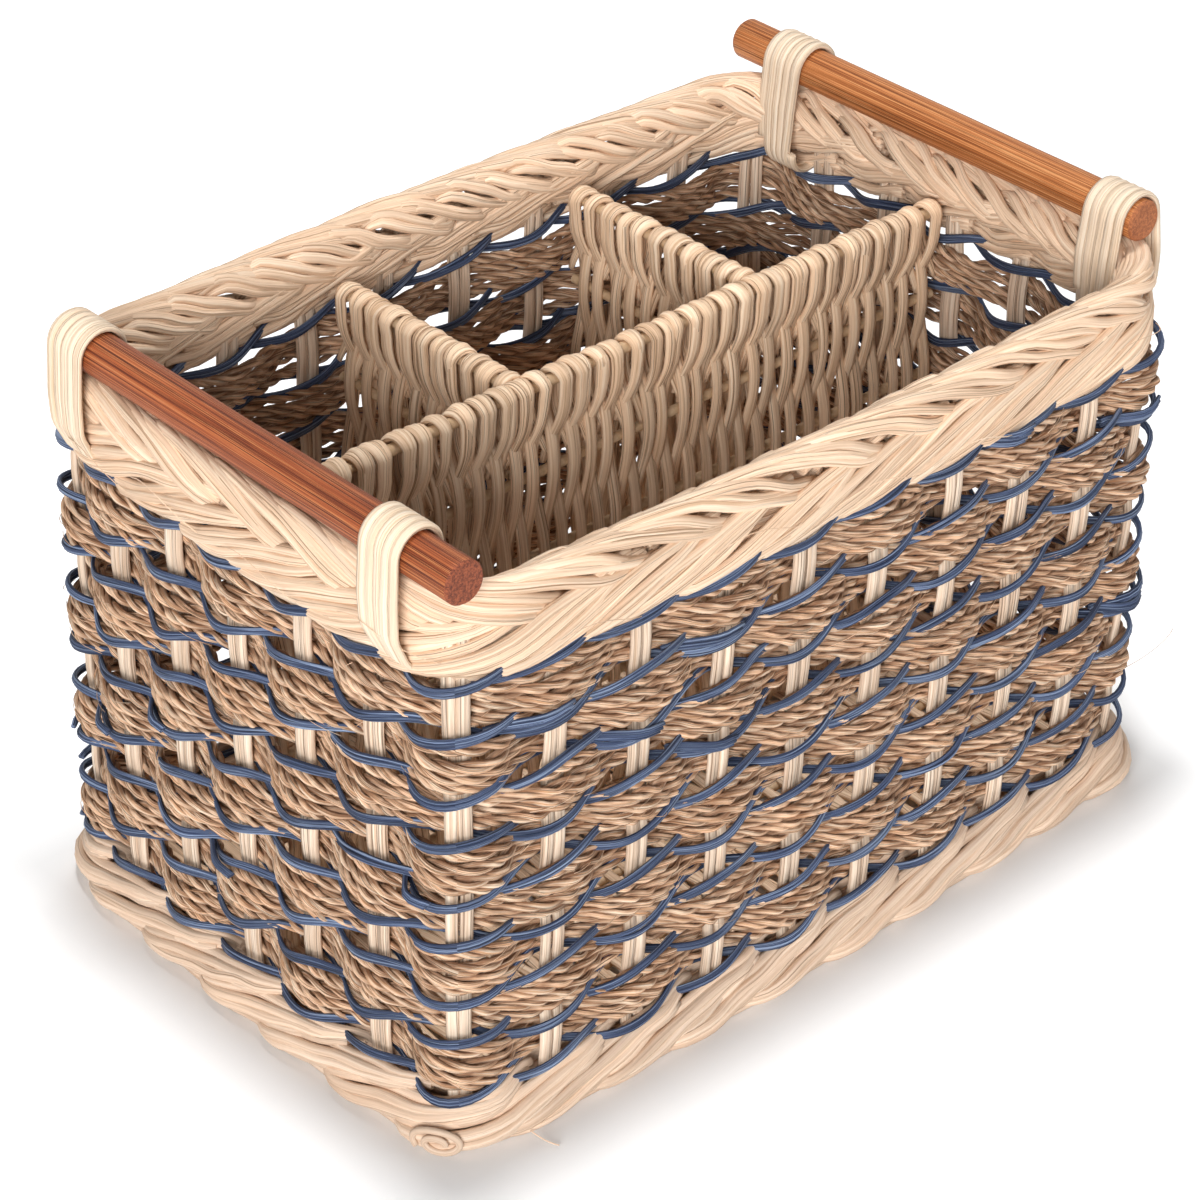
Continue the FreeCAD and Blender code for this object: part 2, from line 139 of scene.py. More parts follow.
def strand_mesh(paths, thickness, sides=8, closed=False, swells=None, section=None, cores=None):
    """One tube along each path, with lengths in metres on its UV map and a number of its own.

    Plies also get a share of painted shade at each point, dark in the clefts between plies and between
    cords, from their distance to the core of their cord.
    """
    curve = bpy.data.curves.new("strand", "CURVE")
    curve.dimensions = "3D"
    helpers = []
    if section is None:
        curve.twist_mode = "MINIMUM"
        curve.bevel_depth = thickness / 2
        curve.bevel_resolution = sides // 2 - 2
    else:
        sides = len(section)
        outline = bpy.data.curves.new("section", "CURVE")
        spline = outline.splines.new("POLY")
        spline.points.add(sides - 1)
        points = np.column_stack([section, np.zeros(sides), np.ones(sides)])
        spline.points.foreach_set("co", points.astype(np.float32).ravel())
        spline.use_cyclic_u = True
        helpers.append(bpy.data.objects.new("section", outline))
        curve.twist_mode = "Z_UP"
        curve.bevel_mode = "OBJECT"
        curve.bevel_object = helpers[0]
    for index, path in enumerate(paths):
        spline = curve.splines.new("POLY")
        spline.points.add(len(path) - 1)
        points = np.column_stack([path, np.ones(len(path))])
        spline.points.foreach_set("co", points.astype(np.float32).ravel())
        if swells is not None:
            spline.points.foreach_set("radius", np.asarray(swells[index], np.float32))
        spline.use_cyclic_u = closed
    helpers.append(bpy.data.objects.new("strand", curve))
    for helper in helpers:
        scene.collection.objects.link(helper)
    graph = bpy.context.evaluated_depsgraph_get()
    mesh = bpy.data.meshes.new_from_object(helpers[-1].evaluated_get(graph))
    for helper in helpers:
        bpy.data.objects.remove(helper)
    owner = np.repeat(np.arange(len(paths)), [len(path) * sides for path in paths])
    lengths = np.array([np.linalg.norm(np.diff(path, axis=0), axis=1).sum() for path in paths])
    corners = np.empty(len(mesh.loops), np.int32)
    mesh.loops.foreach_get("vertex_index", corners)
    lay = np.empty(2 * len(corners), np.float32)
    mesh.uv_layers[0].uv.foreach_get("vector", lay)
    lay = lay.reshape(-1, 2) * np.column_stack([lengths[owner[corners]],
                                               np.full(len(corners), thickness * math.pi)])
    mesh.uv_layers[0].uv.foreach_set("vector", lay.astype(np.float32).ravel())
    numbers = mesh.attributes.new("strand", "FLOAT", "POINT")
    numbers.data.foreach_set("value", chance.random(len(paths)).astype(np.float32)[owner])
    if cores is not None:
        spots = np.empty(3 * len(mesh.vertices), np.float32)
        mesh.vertices.foreach_get("co", spots)
        apart = (spots.reshape(-1, 3) - np.repeat(np.concatenate(cores), sides, axis=0)) / thickness
        # Painted shade: the plies are darkened where they meet each other and where one cord touches the
        # next, in place of the shadow in these clefts.
        shade_between_plies = 1 - ease((np.linalg.norm(apart, axis=1) - cleft_shade_start) / ply_cleft_shade)
        shade_between_cords = ease((np.abs(apart[:, 2]) - cleft_shade_start) / cord_cleft_shade)
        painted_cleft_shade = mesh.attributes.new("painted_cleft_shade", "FLOAT", "POINT")
        painted_cleft_shade.data.foreach_set("value", np.maximum(shade_between_plies, shade_between_cords).astype(np.float32))
    return mesh


def add_strands(work, paths, thickness, turn=None, **choices):
    """Lays strands into a piece that is being made; turn moves them into place."""
    mesh = strand_mesh(paths, thickness, **choices)
    if turn is not None:
        mesh.transform(turn)
    work.from_mesh(mesh)
    bpy.data.meshes.remove(mesh)


def finish_piece(name, work, finishes, nodes, body="basket"):
    """Closes the strand ends and hangs the piece on its body in place of its nodes."""
    bmesh.ops.holes_fill(work, edges=[edge for edge in work.edges if edge.is_boundary])
    bmesh.ops.recalc_face_normals(work, faces=work.faces[:])
    for face in work.faces:
        face.smooth = len(face.verts) == 4
    mesh = bpy.data.meshes.new(name)
    work.to_mesh(mesh)
    work.free()
    for finish in finishes:
        mesh.materials.append(finish)
    piece = bpy.data.objects.new(name, mesh)
    scene.collection.objects.link(piece)
    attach(piece, body)
    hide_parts(*nodes)
    return piece


# Finishes

# The last of these sets how dark the painted shade in the rope's clefts gets.
crack_strength, crack_depth, cleft_shade_strength = 0.75, 0.7, 0.74


def new_finish(name):
    material = bpy.data.materials.new(name)
    material.use_nodes = True
    tree = material.node_tree
    return material, tree, tree.nodes["Principled BSDF"]


def node(tree, kind, settings=None, **inputs):
    """A node with its settings made and its inputs filled or linked."""
    made = tree.nodes.new("ShaderNode" + kind)
    for key, value in (settings or {}).items():
        setattr(made, key, value)
    for key, value in inputs.items():
        socket = made.inputs[int(key[1:]) if key[0] == "i" and key[1:].isdigit()
                             else key.replace("_", " ")]
        if isinstance(value, bpy.types.NodeSocket):
            tree.links.new(value, socket)
        else:
            socket.default_value = value
    return made


def ramp(tree, share, stops):
    """A colour ramp with stops of (position, colour)."""
    made = node(tree, "ValToRGB", i0=share)
    elements = made.color_ramp.elements
    while len(elements) < len(stops):
        elements.new(0.5)
    for element, (position, colour) in zip(elements, stops):
        element.position = position
        element.color = (*colour, 1)
    return made.outputs["Color"]


def math_node(tree, operation, first, second):
    return node(tree, "Math", {"operation": operation}, i0=first, i1=second).outputs["Value"]


def mix_colours(tree, share, first, second):
    """The first colour, covered by the second where the share is high."""
    return node(tree, "Mix", {"data_type": "RGBA"}, Factor=share, i6=first,
                i7=(*second, 1)).outputs[2]


def seen_directly(tree):
    """1 for the rays that show a surface to the camera, straight or by a reflection."""
    rays = node(tree, "LightPath").outputs
    seen = math_node(tree, "MAXIMUM", rays["Is Camera Ray"], rays["Is Glossy Ray"])
    return math_node(tree, "MAXIMUM", seen, rays["Is Transmission Ray"])


def strand_coordinates(tree, along, around, apart=40.0):
    """UV lengths stretched for fibres, with another pattern on every strand."""
    lay = node(tree, "UVMap", {"uv_map": "UVMap"}).outputs["UV"]
    number = node(tree, "Attribute", {"attribute_name": "strand"}).outputs["Fac"]
    shift = node(tree, "CombineXYZ", i2=math_node(tree, "MULTIPLY", number, apart))
    place = node(tree, "Mapping", {"vector_type": "POINT"}, Vector=lay,
                 Location=shift.outputs["Vector"])
    place.inputs["Scale"].default_value = (along, around, 1)
    return place.outputs["Vector"], number


def fibre_finish(name, dark, middle, pale, crack, along=30.0, around=900.0, uneven=0.35,
                 bump=0.0004, roughness=0.6, crack_share=0.36, painted_cleft_shade=None):
    """Plant fibre: long streaks, thin dark cracks and a tone of its own on every strand; optionally
    painted shade in the clefts between plies and cords.
    """
    material, tree, shader = new_finish(name)
    place, number = strand_coordinates(tree, along, around)
    streak = node(tree, "TexNoise", Vector=place, Scale=1.0, Detail=6.0,
                  Roughness=0.68).outputs["Fac"]
    colour = ramp(tree, streak, [(0.36, dark), (0.50, middle), (0.62, pale)])
    far, number = strand_coordinates(tree, along * 0.25, around * 0.12, 17.0)
    cloud = node(tree, "TexNoise", Vector=far, Scale=1.0, Detail=2.0).outputs["Fac"]
    tone = math_node(tree, "ADD", math_node(tree, "MULTIPLY", number, uneven),
                     math_node(tree, "MULTIPLY", cloud, uneven))
    tone = math_node(tree, "ADD", tone, 1.0 - uneven)
    shaded = node(tree, "HueSaturation", Color=colour, Value=tone, Fac=1.0).outputs["Color"]
    split_place, number = strand_coordinates(tree, along * 0.5, around * 1.7, 61.0)
    split = node(tree, "TexNoise", Vector=split_place, Scale=1.0, Detail=2.0,
                 Roughness=0.5).outputs["Fac"]
    split = node(tree, "MapRange", Value=split, From_Min=crack_share - 0.05,
                 From_Max=crack_share, To_Min=1.0, To_Max=0.0).outputs["Result"]
    mixed = mix_colours(tree, math_node(tree, "MULTIPLY", split, crack_strength), shaded, crack)
    # Painted shade: the clefts between plies and cords are darkened towards the given colour.
    if painted_cleft_shade is not None:
        hidden = node(tree, "Attribute", {"attribute_name": "painted_cleft_shade"}).outputs["Fac"]
        mixed = mix_colours(tree, math_node(tree, "MULTIPLY", hidden, cleft_shade_strength), mixed, painted_cleft_shade)
    tree.links.new(mixed, shader.inputs["Base Color"])
    depth = math_node(tree, "SUBTRACT", streak, math_node(tree, "MULTIPLY", split, crack_depth))
    relief = node(tree, "Bump", Height=depth, Strength=0.8, Distance=bump)
    tree.links.new(relief.outputs["Normal"], shader.inputs["Normal"])
    gloss = node(tree, "MapRange", Value=streak, To_Min=roughness + 0.12, To_Max=roughness - 0.12)
    tree.links.new(gloss.outputs["Result"], shader.inputs["Roughness"])
    shader.inputs["Specular IOR Level"].default_value = 0.3
    return material


border_reed = fibre_finish("border_reed", (0.63, 0.415, 0.265), (0.845, 0.605, 0.425),
                           (0.93, 0.745, 0.565), (0.34, 0.185, 0.095), along=16.0, around=1500.0,
                           uneven=0.16, crack_share=0.375)
foot_reed = fibre_finish("foot_reed", (0.60, 0.415, 0.29), (0.74, 0.54, 0.395), (0.83, 0.65, 0.505),
                         (0.34, 0.195, 0.11), along=16.0, around=1300.0, uneven=0.26,
                         crack_share=0.345)
stake_reed = fibre_finish("stake_reed", (0.54, 0.37, 0.25), (0.77, 0.59, 0.445), (0.90, 0.75, 0.60),
                          (0.20, 0.11, 0.065), along=18.0, around=1500.0, uneven=0.18,
                          crack_share=0.41)
lashing_cane = fibre_finish("lashing_cane", (0.66, 0.48, 0.31), (0.85, 0.67, 0.50), (0.92, 0.79, 0.63),
                            (0.38, 0.23, 0.13), along=12.0, around=1600.0, uneven=0.10,
                            crack_share=0.38)
divider_cane = fibre_finish("divider_cane", (0.60, 0.39, 0.24), (0.82, 0.585, 0.395), (0.92, 0.73, 0.54),
                            (0.26, 0.135, 0.065), along=18.0, around=1500.0, uneven=0.2,
                            crack_share=0.39)
blue_reed = fibre_finish("blue_reed", (0.012, 0.017, 0.038), (0.052, 0.076, 0.152), (0.26, 0.33, 0.47),
                         (0.008, 0.010, 0.018), along=22.0, around=2000.0, uneven=0.36,
                         crack_share=0.41)
# Rope fibre; its last colour is the painted shade laid into the clefts between plies and cords.
rope_fibre = fibre_finish("rope_fibre", (0.58, 0.29, 0.14), (0.97, 0.635, 0.415), (0.99, 0.82, 0.63),
                          (0.10, 0.040, 0.016), along=60.0, around=2200.0, uneven=0.28,
                          bump=0.0010, roughness=0.8, crack_share=0.42,
                          painted_cleft_shade=(0.24, 0.098, 0.042))


def rod_finish(name, dark, pale):
    """Peeled rod, mostly hidden by the weave."""
    material, tree, shader = new_finish(name)
    place = node(tree, "TexCoord").outputs["Object"]
    streak = node(tree, "TexNoise", Vector=place, Scale=260.0, Detail=5.0, Roughness=0.6).outputs["Fac"]
    tree.links.new(ramp(tree, streak, [(0.3, dark), (0.7, pale)]), shader.inputs["Base Color"])
    relief = node(tree, "Bump", Height=streak, Strength=0.5, Distance=0.0002)
    tree.links.new(relief.outputs["Normal"], shader.inputs["Normal"])
    shader.inputs["Roughness"].default_value = 0.65
    return material


peeled_rod = rod_finish("peeled_rod", (0.44, 0.27, 0.14), (0.76, 0.56, 0.36))


def dowel_finish(name, dark, middle, pale, split):
    """Stained dowel: fine long grain, pale scratches along it and dark pores."""
    material, tree, shader = new_finish(name)
    place, number = strand_coordinates(tree, 6.0, 1500.0)
    grain = node(tree, "TexNoise", Vector=place, Scale=1.0, Detail=7.0, Roughness=0.75).outputs["Fac"]
    colour = ramp(tree, grain, [(0.42, dark), (0.5, middle), (0.58, pale)])
    fine, number = strand_coordinates(tree, 14.0, 3800.0)
    scratch = node(tree, "TexNoise", Vector=fine, Scale=1.0, Detail=4.0, Roughness=0.65).outputs["Fac"]
    mark = node(tree, "MapRange", Value=scratch, From_Min=0.55, From_Max=0.61).outputs["Result"]
    bright = mix_colours(tree, math_node(tree, "MULTIPLY", mark, 0.75), colour, split)
    pore = node(tree, "MapRange", Value=scratch, From_Min=0.45, From_Max=0.39).outputs["Result"]
    deep = mix_colours(tree, math_node(tree, "MULTIPLY", pore, 0.8), bright, dark)
    tree.links.new(deep, shader.inputs["Base Color"])
    relief = node(tree, "Bump", Height=scratch, Strength=0.7, Distance=0.00025)
    tree.links.new(relief.outputs["Normal"], shader.inputs["Normal"])
    shader.inputs["Roughness"].default_value = 0.5
    shader.inputs["Specular IOR Level"].default_value = 0.25
    return material


def end_grain_finish(name, dark, pale):
    """Sawn dowel end, rough and full of pores."""
    material, tree, shader = new_finish(name)
    place = node(tree, "TexCoord").outputs["Object"]
    grain = node(tree, "TexNoise", Vector=place, Scale=1500.0, Detail=4.0, Roughness=0.7).outputs["Fac"]
    tree.links.new(ramp(tree, grain, [(0.36, dark), (0.62, pale)]), shader.inputs["Base Color"])
    relief = node(tree, "Bump", Height=grain, Strength=1.0, Distance=0.0006)
    tree.links.new(relief.outputs["Normal"], shader.inputs["Normal"])
    shader.inputs["Roughness"].default_value = 0.8
    return material


# Wall: stakes, twined rows and rope rows

stake_low, stake_high = 0.0085, 0.1660
stake_width, stake_depth, stake_spread = 0.0038, 0.0027, 0.0018
twine_thickness, twine_spacing = 0.0013, 0.00094
twine_out, twine_up, top_row_lift = 0.0041, 0.0025, 0.0018
cords_per_row, plies_per_cord, hairs_per_row = 4, 3, 90
ply_thickness, ply_lay = 0.0019, 0.00112
cord_swing, cord_spacing, cord_spread, middle_bulge = 0.0033, 0.0034, 0.0005, 0.0008


def stake_piece(group, numbers):
    """Upright pairs of flat reeds, laid out along X and then stood up."""
    work = bmesh.new()
    section = flat_section(stake_width, stake_depth, 0.02, 12)
    for number in numbers:
        spot, outward = wall_ring.at(np.array([number]))
        x, y = spot[0]
        out_x, out_y = outward[0]
        stand = Matrix(((0, -out_y, -out_x, x), (0, out_x, -out_y, y), (1, 0, 0, 0), (0, 0, 0, 1)))
        for side in (-1, 1):
            high = np.linspace(stake_low, stake_high, 41)
            across = side * stake_spread + drift(high * 40, 0.0004, 1, 9)
            push = 0.0005 * np.cos((high - first_rope_row) / row_pitch * math.pi + number * math.pi)
            path = np.column_stack([high, across, push + drift(high * 40, 0.0002, 1, 9)])
            swell = 1 + drift(high * 40, 0.06, 1, 12)
            add_strands(work, [path], 0.0034, turn=stand, section=section, swells=[swell])
    return finish_piece("reeds_" + group, work, [stake_reed], ["stakes_" + group])


def twined_piece(row):
    """Two strands of three fine reeds each, twisted about each other round the stakes."""
    place = np.linspace(0, stake_count, 14 * stake_count, endpoint=False)
    middle = first_twined_row + (row - 1) * row_pitch + (top_row_lift if row == twined_rows else 0)
    sway = 0.0015 if row < twined_rows else 0.0006
    paths, swells = [], []
    for strand in (0, 1):
        turn = math.pi * (place + strand)
        bend_out = drift(place, 0.0003) + 0.0009
        bend_up = drift(place, 0.0004) - sway * np.cos(math.pi * (place + row + 1))
        for reed in (-1, 0, 1):
            out = twine_out * np.cos(turn) + bend_out + 0.0004 * (1 - abs(reed)) * np.cos(turn)
            beside = reed * (twine_spacing - 0.00016 * np.sin(turn) ** 2)
            up = twine_up * np.sin(turn) + bend_up + beside
            paths.append(wall(place, out + drift(place, 0.00012), middle + up + drift(place, 0.00014)))
            swells.append(1 + drift(place, 0.08, 20, 90))
    work = bmesh.new()
    add_strands(work, paths, twine_thickness, sides=6, closed=True, swells=swells)
    ends = []
    for splice in range(3):
        start = chance.integers(0, stake_count) + chance.uniform(0.1, 0.4)
        share = np.linspace(0, 1, 9)
        length = chance.uniform(0.5, 0.8)
        rise = chance.uniform(-0.002, 0.004)
        for reed in (-1, 0, 1):
            out = -0.001 + 0.0078 * ease(share * 1.3) + 0.0002 * (1 - abs(reed))
            ends.append(wall(start + share * length * (1 + 0.04 * reed), out,
                             middle + rise * share + reed * 0.00092))
    add_strands(work, ends, 0.00125, sides=6)
    return finish_piece("twining_%d" % row, work, [blue_reed], ["twined_row_%d" % row])


def rope_piece(row):
    """Four cords of three plies, bulging where they pass a stake and pinched between stakes."""
    place = np.linspace(0, stake_count, 26 * stake_count, endpoint=False)
    middle = first_rope_row + (row - 1) * row_pitch
    side = np.cos(math.pi * (place + row + 1))
    swing = np.sign(side) * np.abs(side) ** 0.8
    paths, cores, swells = [], [], []
    for cord in range(cords_per_row):
        step = cord - (cords_per_row - 1) / 2
        turns = int(chance.integers(44, 52))
        begin = chance.uniform(0, tau)
        bulge = middle_bulge if cord in (1, 2) else -middle_bulge
        out = cord_swing * swing + drift(place, 0.0003) + bulge * side
        up = step * (cord_spacing + cord_spread * side) + drift(place, 0.0003)
        for ply in range(plies_per_cord):
            turn = turns * place / stake_count * tau + begin + ply * tau / plies_per_cord
            turn = turn + drift(place, 0.5)
            lay = ply_lay * (0.9 + 0.1 * side * side)
            paths.append(wall(place, out + lay * np.cos(turn), middle + up - lay * np.sin(turn)))
            cores.append(wall(place, out, middle + up))
            swells.append((0.88 + 0.12 * side * side) * (1 + drift(place, 0.09, 60, 260)))
    work = bmesh.new()
    add_strands(work, paths, ply_thickness, sides=6, closed=True, swells=swells, cores=cores)
    hairs = []
    for hair in range(hairs_per_row):
        begin = chance.uniform(0, stake_count)
        steps = begin + np.linspace(0, chance.uniform(0.1, 0.5), 6)
        bulge = np.cos(math.pi * (steps + row + 1))
        face = chance.choice((-1, 1), p=(0.35, 0.65))
        lift = chance.uniform(0.0002, 0.0014) * np.sin(np.linspace(0.2, 2.9, 6))
        height = middle + chance.uniform(-0.006, 0.006)
        height = height + chance.uniform(-0.003, 0.004) * np.linspace(0, 1, 6)
        hairs.append(wall(steps, 0.0040 * bulge + face * (0.0018 + lift), height))
    if row == 2:
        share = np.linspace(0, 1, 9)
        hairs.append(wall(8.7 + share * 0.45, 0.005 + 0.016 * share,
                          middle + 0.004 * np.sin(2.4 * share)))
    add_strands(work, hairs, 0.0002, sides=4)
    return finish_piece("cords_%d" % row, work, [rope_fibre], ["rope_row_%d" % row])


# Borders

rim_middle, rim_half_height, rim_half_width, rim_shift = 0.1680, 0.0130, 0.0067, -0.0005
rim_outer_growth, rim_outer_drop, rim_boxiness = 0.0053, 0.0019, 2.6
foot_reach_out, foot_rounding, foot_lean = 0.0106, 0.0034, 0.0054
foot_thickness, foot_reeds, foot_reach = 0.0033, 4, 2.8
ring_thickness, knot_thickness = 0.0034, 0.0021


def bundle(work, start, length, turns, reeds, thickness, spread, tuck, surface, ring, steps=22):
    """Reeds side by side that sweep over a border in a leaf shape, with both ends tucked in."""
    share = np.linspace(0, 1, steps)
    fan = spread[0] * (1 - share) ** 2 + 2 * spread[1] * share * (1 - share) + spread[2] * share ** 2
    begin = start + chance.uniform(-0.08, 0.08)
    paths, swells = [], []
    for reed in range(reeds):
        beside = reed - (reeds - 1) / 2
        turn = turns[0] + (turns[1] - turns[0]) * (0.6 * share + 0.4 * ease(share))
        turn = turn + beside * fan + drift(share * 30, 0.04, 1, 4)
        depth = tuck[0] * (1 - ease(share / 0.2)) + tuck[1] * ease((share - 0.15) / 0.6)
        depth = depth + tuck[2] * ease((share - 0.78) / 0.22) + chance.uniform(-0.0004, 0.0004)
        place = begin + share * (length + chance.uniform(-0.15, 0.1)) + chance.uniform(-0.05, 0.05)
        out, high = surface(turn, depth + thickness / 2)
        paths.append(wall(place, out, high, ring))
        swells.append(0.9 + 0.14 * np.sin(math.pi * share) + drift(share * 30, 0.05, 1, 6))
    add_strands(work, paths, thickness, swells=swells)


def rim_surface(turn, depth):
    """Point of the rim's section: 0 lies outside, a quarter turn on top, half a turn inside."""
    cos, sin = np.cos(turn), np.sin(turn)
    size = (np.abs(cos) ** rim_boxiness + np.abs(sin) ** rim_boxiness) ** (-1 / rim_boxiness)
    outside = cos * size
    tall = rim_half_height + rim_outer_growth * outside - depth
    out = rim_shift + (rim_half_width - depth) * outside
    return out, rim_middle - rim_outer_drop * outside + tall * sin * size


def rim_piece():
    """Plaited border: sweeps that rise outside, come over the top and go down inside."""
    work = bmesh.new()
    degree = math.pi / 180
    for stake in range(stake_count):
        bundle(work, stake - 0.2, 3.0, (-80 * degree, 20 * degree), 4, 0.0033,
               (0.12, 0.32, 0.06), (0.0045, 0.0012, 0.003), rim_surface, rim_ring)
        bundle(work, stake + 0.2, 2.9, (114 * degree, 2 * degree), 3, 0.0035,
               (0.26, 0.36, 0.06), (0.004, 0.0010, 0.003), rim_surface, rim_ring)
        for half in (0.1, 0.6):
            bundle(work, stake + half, 1.35, (206 * degree, 92 * degree), 2, 0.0033,
                   (0.30, 0.42, 0.30), (0.0035, -0.0006, 0.004), rim_surface, rim_ring, 16)
        bundle(work, stake, 1.8, (156 * degree, 264 * degree), 3, 0.0033,
               (0.22, 0.34, 0.26), (0.004, 0.0012, 0.003), rim_surface, rim_ring, 18)
    share = np.linspace(0, 1, 12)
    for start in (0.7, 2.6, 4.2, 5.5, 7.9, 12.3, 17.8, 21.4, 24.4, 25.6, 27.1, 28.8):
        out = 0.0062 + 0.003 * np.sin(math.pi * share)
        high = 0.159 + chance.uniform(-0.002, 0.006) + 0.004 * np.sin(4 * share)
        add_strands(work, [wall(start + share * 1.1, out, high, rim_ring)], 0.0003, sides=4)
    return finish_piece("rim_plait", work, [border_reed], ["rim_border"])


def foot_out(high):
    """How far the foot stands out from the ring at a height: rounded below, leaning in above."""
    below = foot_rounding * np.clip(1 - high / 0.006, 0, 1) ** 2
    return foot_reach_out - below - foot_lean * ease((high - 0.004) / 0.015)


def foot_piece():
    """Foot border: at each stake a leaf of reeds comes up from below and sweeps on to the wall."""
    work = bmesh.new()
    share = np.linspace(0, 1, 26)
    for stake in range(stake_count):
        paths, swells = [], []
        jog = chance.uniform(-0.06, 0.06)
        for reed in range(foot_reeds):
            past = share * (foot_reach - 0.10 * (foot_reeds - 1 - reed))
            low = 0.0019 + 0.0124 * ease((past - 0.55) / 2.2)
            high = 0.0032 + 0.0075 * ease((past + 0.1) / 1.3) + 0.0062 * ease((past - 0.9) / 1.7)
            height = low + (high - low) * reed / (foot_reeds - 1) + drift(share * 30, 0.0003, 1, 5)
            height = np.maximum(height, 0.0018)
            depth = 0.0022 * (1 - past / foot_reach) + 0.0058 * (1 - ease(past / 0.55))
            depth = depth - 0.0016 * np.exp(-((past - 0.75) / 0.32) ** 2)
            depth = depth + 0.0056 * ease((past - 2.2) / 0.6)
            round_off = (2 * reed / (foot_reeds - 1) - 1) ** 2 * np.sin(math.pi * share)
            depth = depth + 0.0017 * round_off + chance.uniform(-0.0002, 0.0002)
            place = stake + jog + past + chance.uniform(-0.04, 0.04)
            paths.append(wall(place, foot_out(height) - depth - foot_thickness / 2, height))
            swells.append(0.90 + 0.14 * np.sin(math.pi * share) + drift(share * 30, 0.05, 1, 6))
        add_strands(work, paths, foot_thickness, swells=swells)
    place = np.linspace(0, stake_count, 8 * stake_count, endpoint=False)
    rings = [(0.0042, 0.0018), (0.0010, 0.0017), (-0.0022, 0.0018), (-0.0054, 0.0017),
             (-0.0087, 0.0018), (-0.0102, 0.0045), (-0.0066, 0.0047), (-0.0030, 0.0060), (0.0040, 0.0050)]
    paths = [wall(place, out + drift(place, 0.0003), high + 0.0002 * np.sin(place * 3))
             for out, high in rings]
    for number, high in enumerate((0.0085, 0.0118, 0.0150)):
        wave = 0.0010 * np.cos(math.pi * (place + number))
        paths.append(wall(place, wave - 0.0045, high + drift(place, 0.0003)))
    add_strands(work, paths, ring_thickness, closed=True)
    coil = np.linspace(0, 1.6 * tau, 40)
    size = 0.0012 + 0.0040 * coil / coil[-1]
    knot = wall(-0.12 + size * np.cos(coil) / 0.029, 0.0108 - 0.16 * size,
                0.0062 + 0.95 * size * np.sin(coil))
    add_strands(work, [knot], knot_thickness)
    curl = np.linspace(0, 1, 12)
    fibre = wall(0.5 + 0.15 * curl, 0.0095 + 0.007 * curl, 0.0012 + 0.003 * (1 - curl) ** 2)
    add_strands(work, [fibre], 0.0006, sides=4)
    return finish_piece("foot_plait", work, [foot_reed], ["foot_border"])


# Dividers and base

cane_pitch, cane_width, cane_depth = 0.0036, 0.0041, 0.0024
cane_wave, fold_radius = 0.0022, 0.0031
rise_steps, fold_steps, tail_steps = 48, 9, 12
long_divider_place, top_rod_drop = 0.003, 0.00325
base_middle, base_wave, base_canes, base_stick_pitch = 0.0085, 0.0015, 72, 0.030


def divider_piece(name, start, end, node_name, turn):
    """Canes over and under the rods, folded over the top rod. X is up and Z runs along."""
    work = bmesh.new()
    section = flat_section(cane_depth, cane_width, 0.03, 12)
    count = round((end - start) / cane_pitch)
    top_rod = divider_top - top_rod_drop
    paths, swells = [], []
    for cane in range(count):
        along = start + (cane + 0.5) * (end - start) / count
        face = 1 if cane % 2 else -1
        high = np.linspace(base_top + 0.0006, top_rod - 0.004, rise_steps)
        weave = cane_wave * np.cos(math.pi * ((high - first_rod) / rod_pitch + cane))
        near_top = ease((high - top_rod + 0.018) / 0.013)
        weave = weave * (1 - near_top) + face * 0.0028 * near_top
        angle = np.linspace(0.15, math.pi - 0.15, fold_steps)
        bulk = chance.uniform(-0.0003, 0.0006)
        over_high = top_rod + (fold_radius + bulk) * np.sin(angle)
        over_out = face * (fold_radius + bulk) * np.cos(angle)
        down = np.linspace(top_rod - 0.003, top_rod - chance.uniform(0.022, 0.027), tail_steps)
        down_out = -face * (fold_radius - 0.0040 * ease((top_rod - 0.008 - down) / 0.017))
        up_line = np.concatenate([high, over_high, down])
        out_line = np.concatenate([weave, over_out, down_out])
        fold = chance.uniform(0.0004, 0.0014) + 0.0012 * face
        sweep = fold - face * 0.0040 * np.linspace(0, 1, tail_steps) ** 1.5
        slide = np.concatenate([np.zeros(rise_steps), np.linspace(0, fold, fold_steps), sweep])
        lean = chance.uniform(-0.0008, 0.0008) * (up_line - base_top) / (divider_top - base_top)
        slide = slide + lean + drift(up_line * 60, 0.0005, 1, 9)
        paths.append(np.column_stack([up_line, out_line, along + slide]))
        thin = np.concatenate([np.ones(rise_steps + fold_steps), np.linspace(1, 0.55, tail_steps)])
        swells.append((chance.uniform(0.94, 1.05) + drift(up_line * 60, 0.06, 1, 14)) * thin)
    add_strands(work, paths, 0.003, turn=turn, section=section, swells=swells)
    return finish_piece(name, work, [divider_cane], [node_name])


def base_piece():
    """Woven bottom: canes across, over and under the five sticks that run along."""
    work = bmesh.new()
    paths = []
    for cane in range(base_canes):
        x = -0.1278 + cane * cane_pitch
        reach = half_width - 0.0085 - 0.004 * (x / half_length) ** 2
        reach -= 0.006 * ease((abs(x) - 0.121) / 0.008)
        y = np.linspace(-reach, reach, 42)
        z = base_middle + base_wave * np.cos(math.pi * (y / base_stick_pitch + cane))
        paths.append(np.column_stack([x + drift(y * 60, 0.0004, 1, 8), y, z]))
    add_strands(work, paths, 0.003, section=flat_section(0.0036, 0.0018))
    return finish_piece("base_mat", work, [divider_cane], ["base_weave"])


# Handles and lashings

dowel_radius, dowel_half, dowel_chamfer, dowel_steps = 0.00635, 0.082, 0.0007, 60
lashing_loops, lashing_pitch, lashing_steps = 5, 0.0030, 52


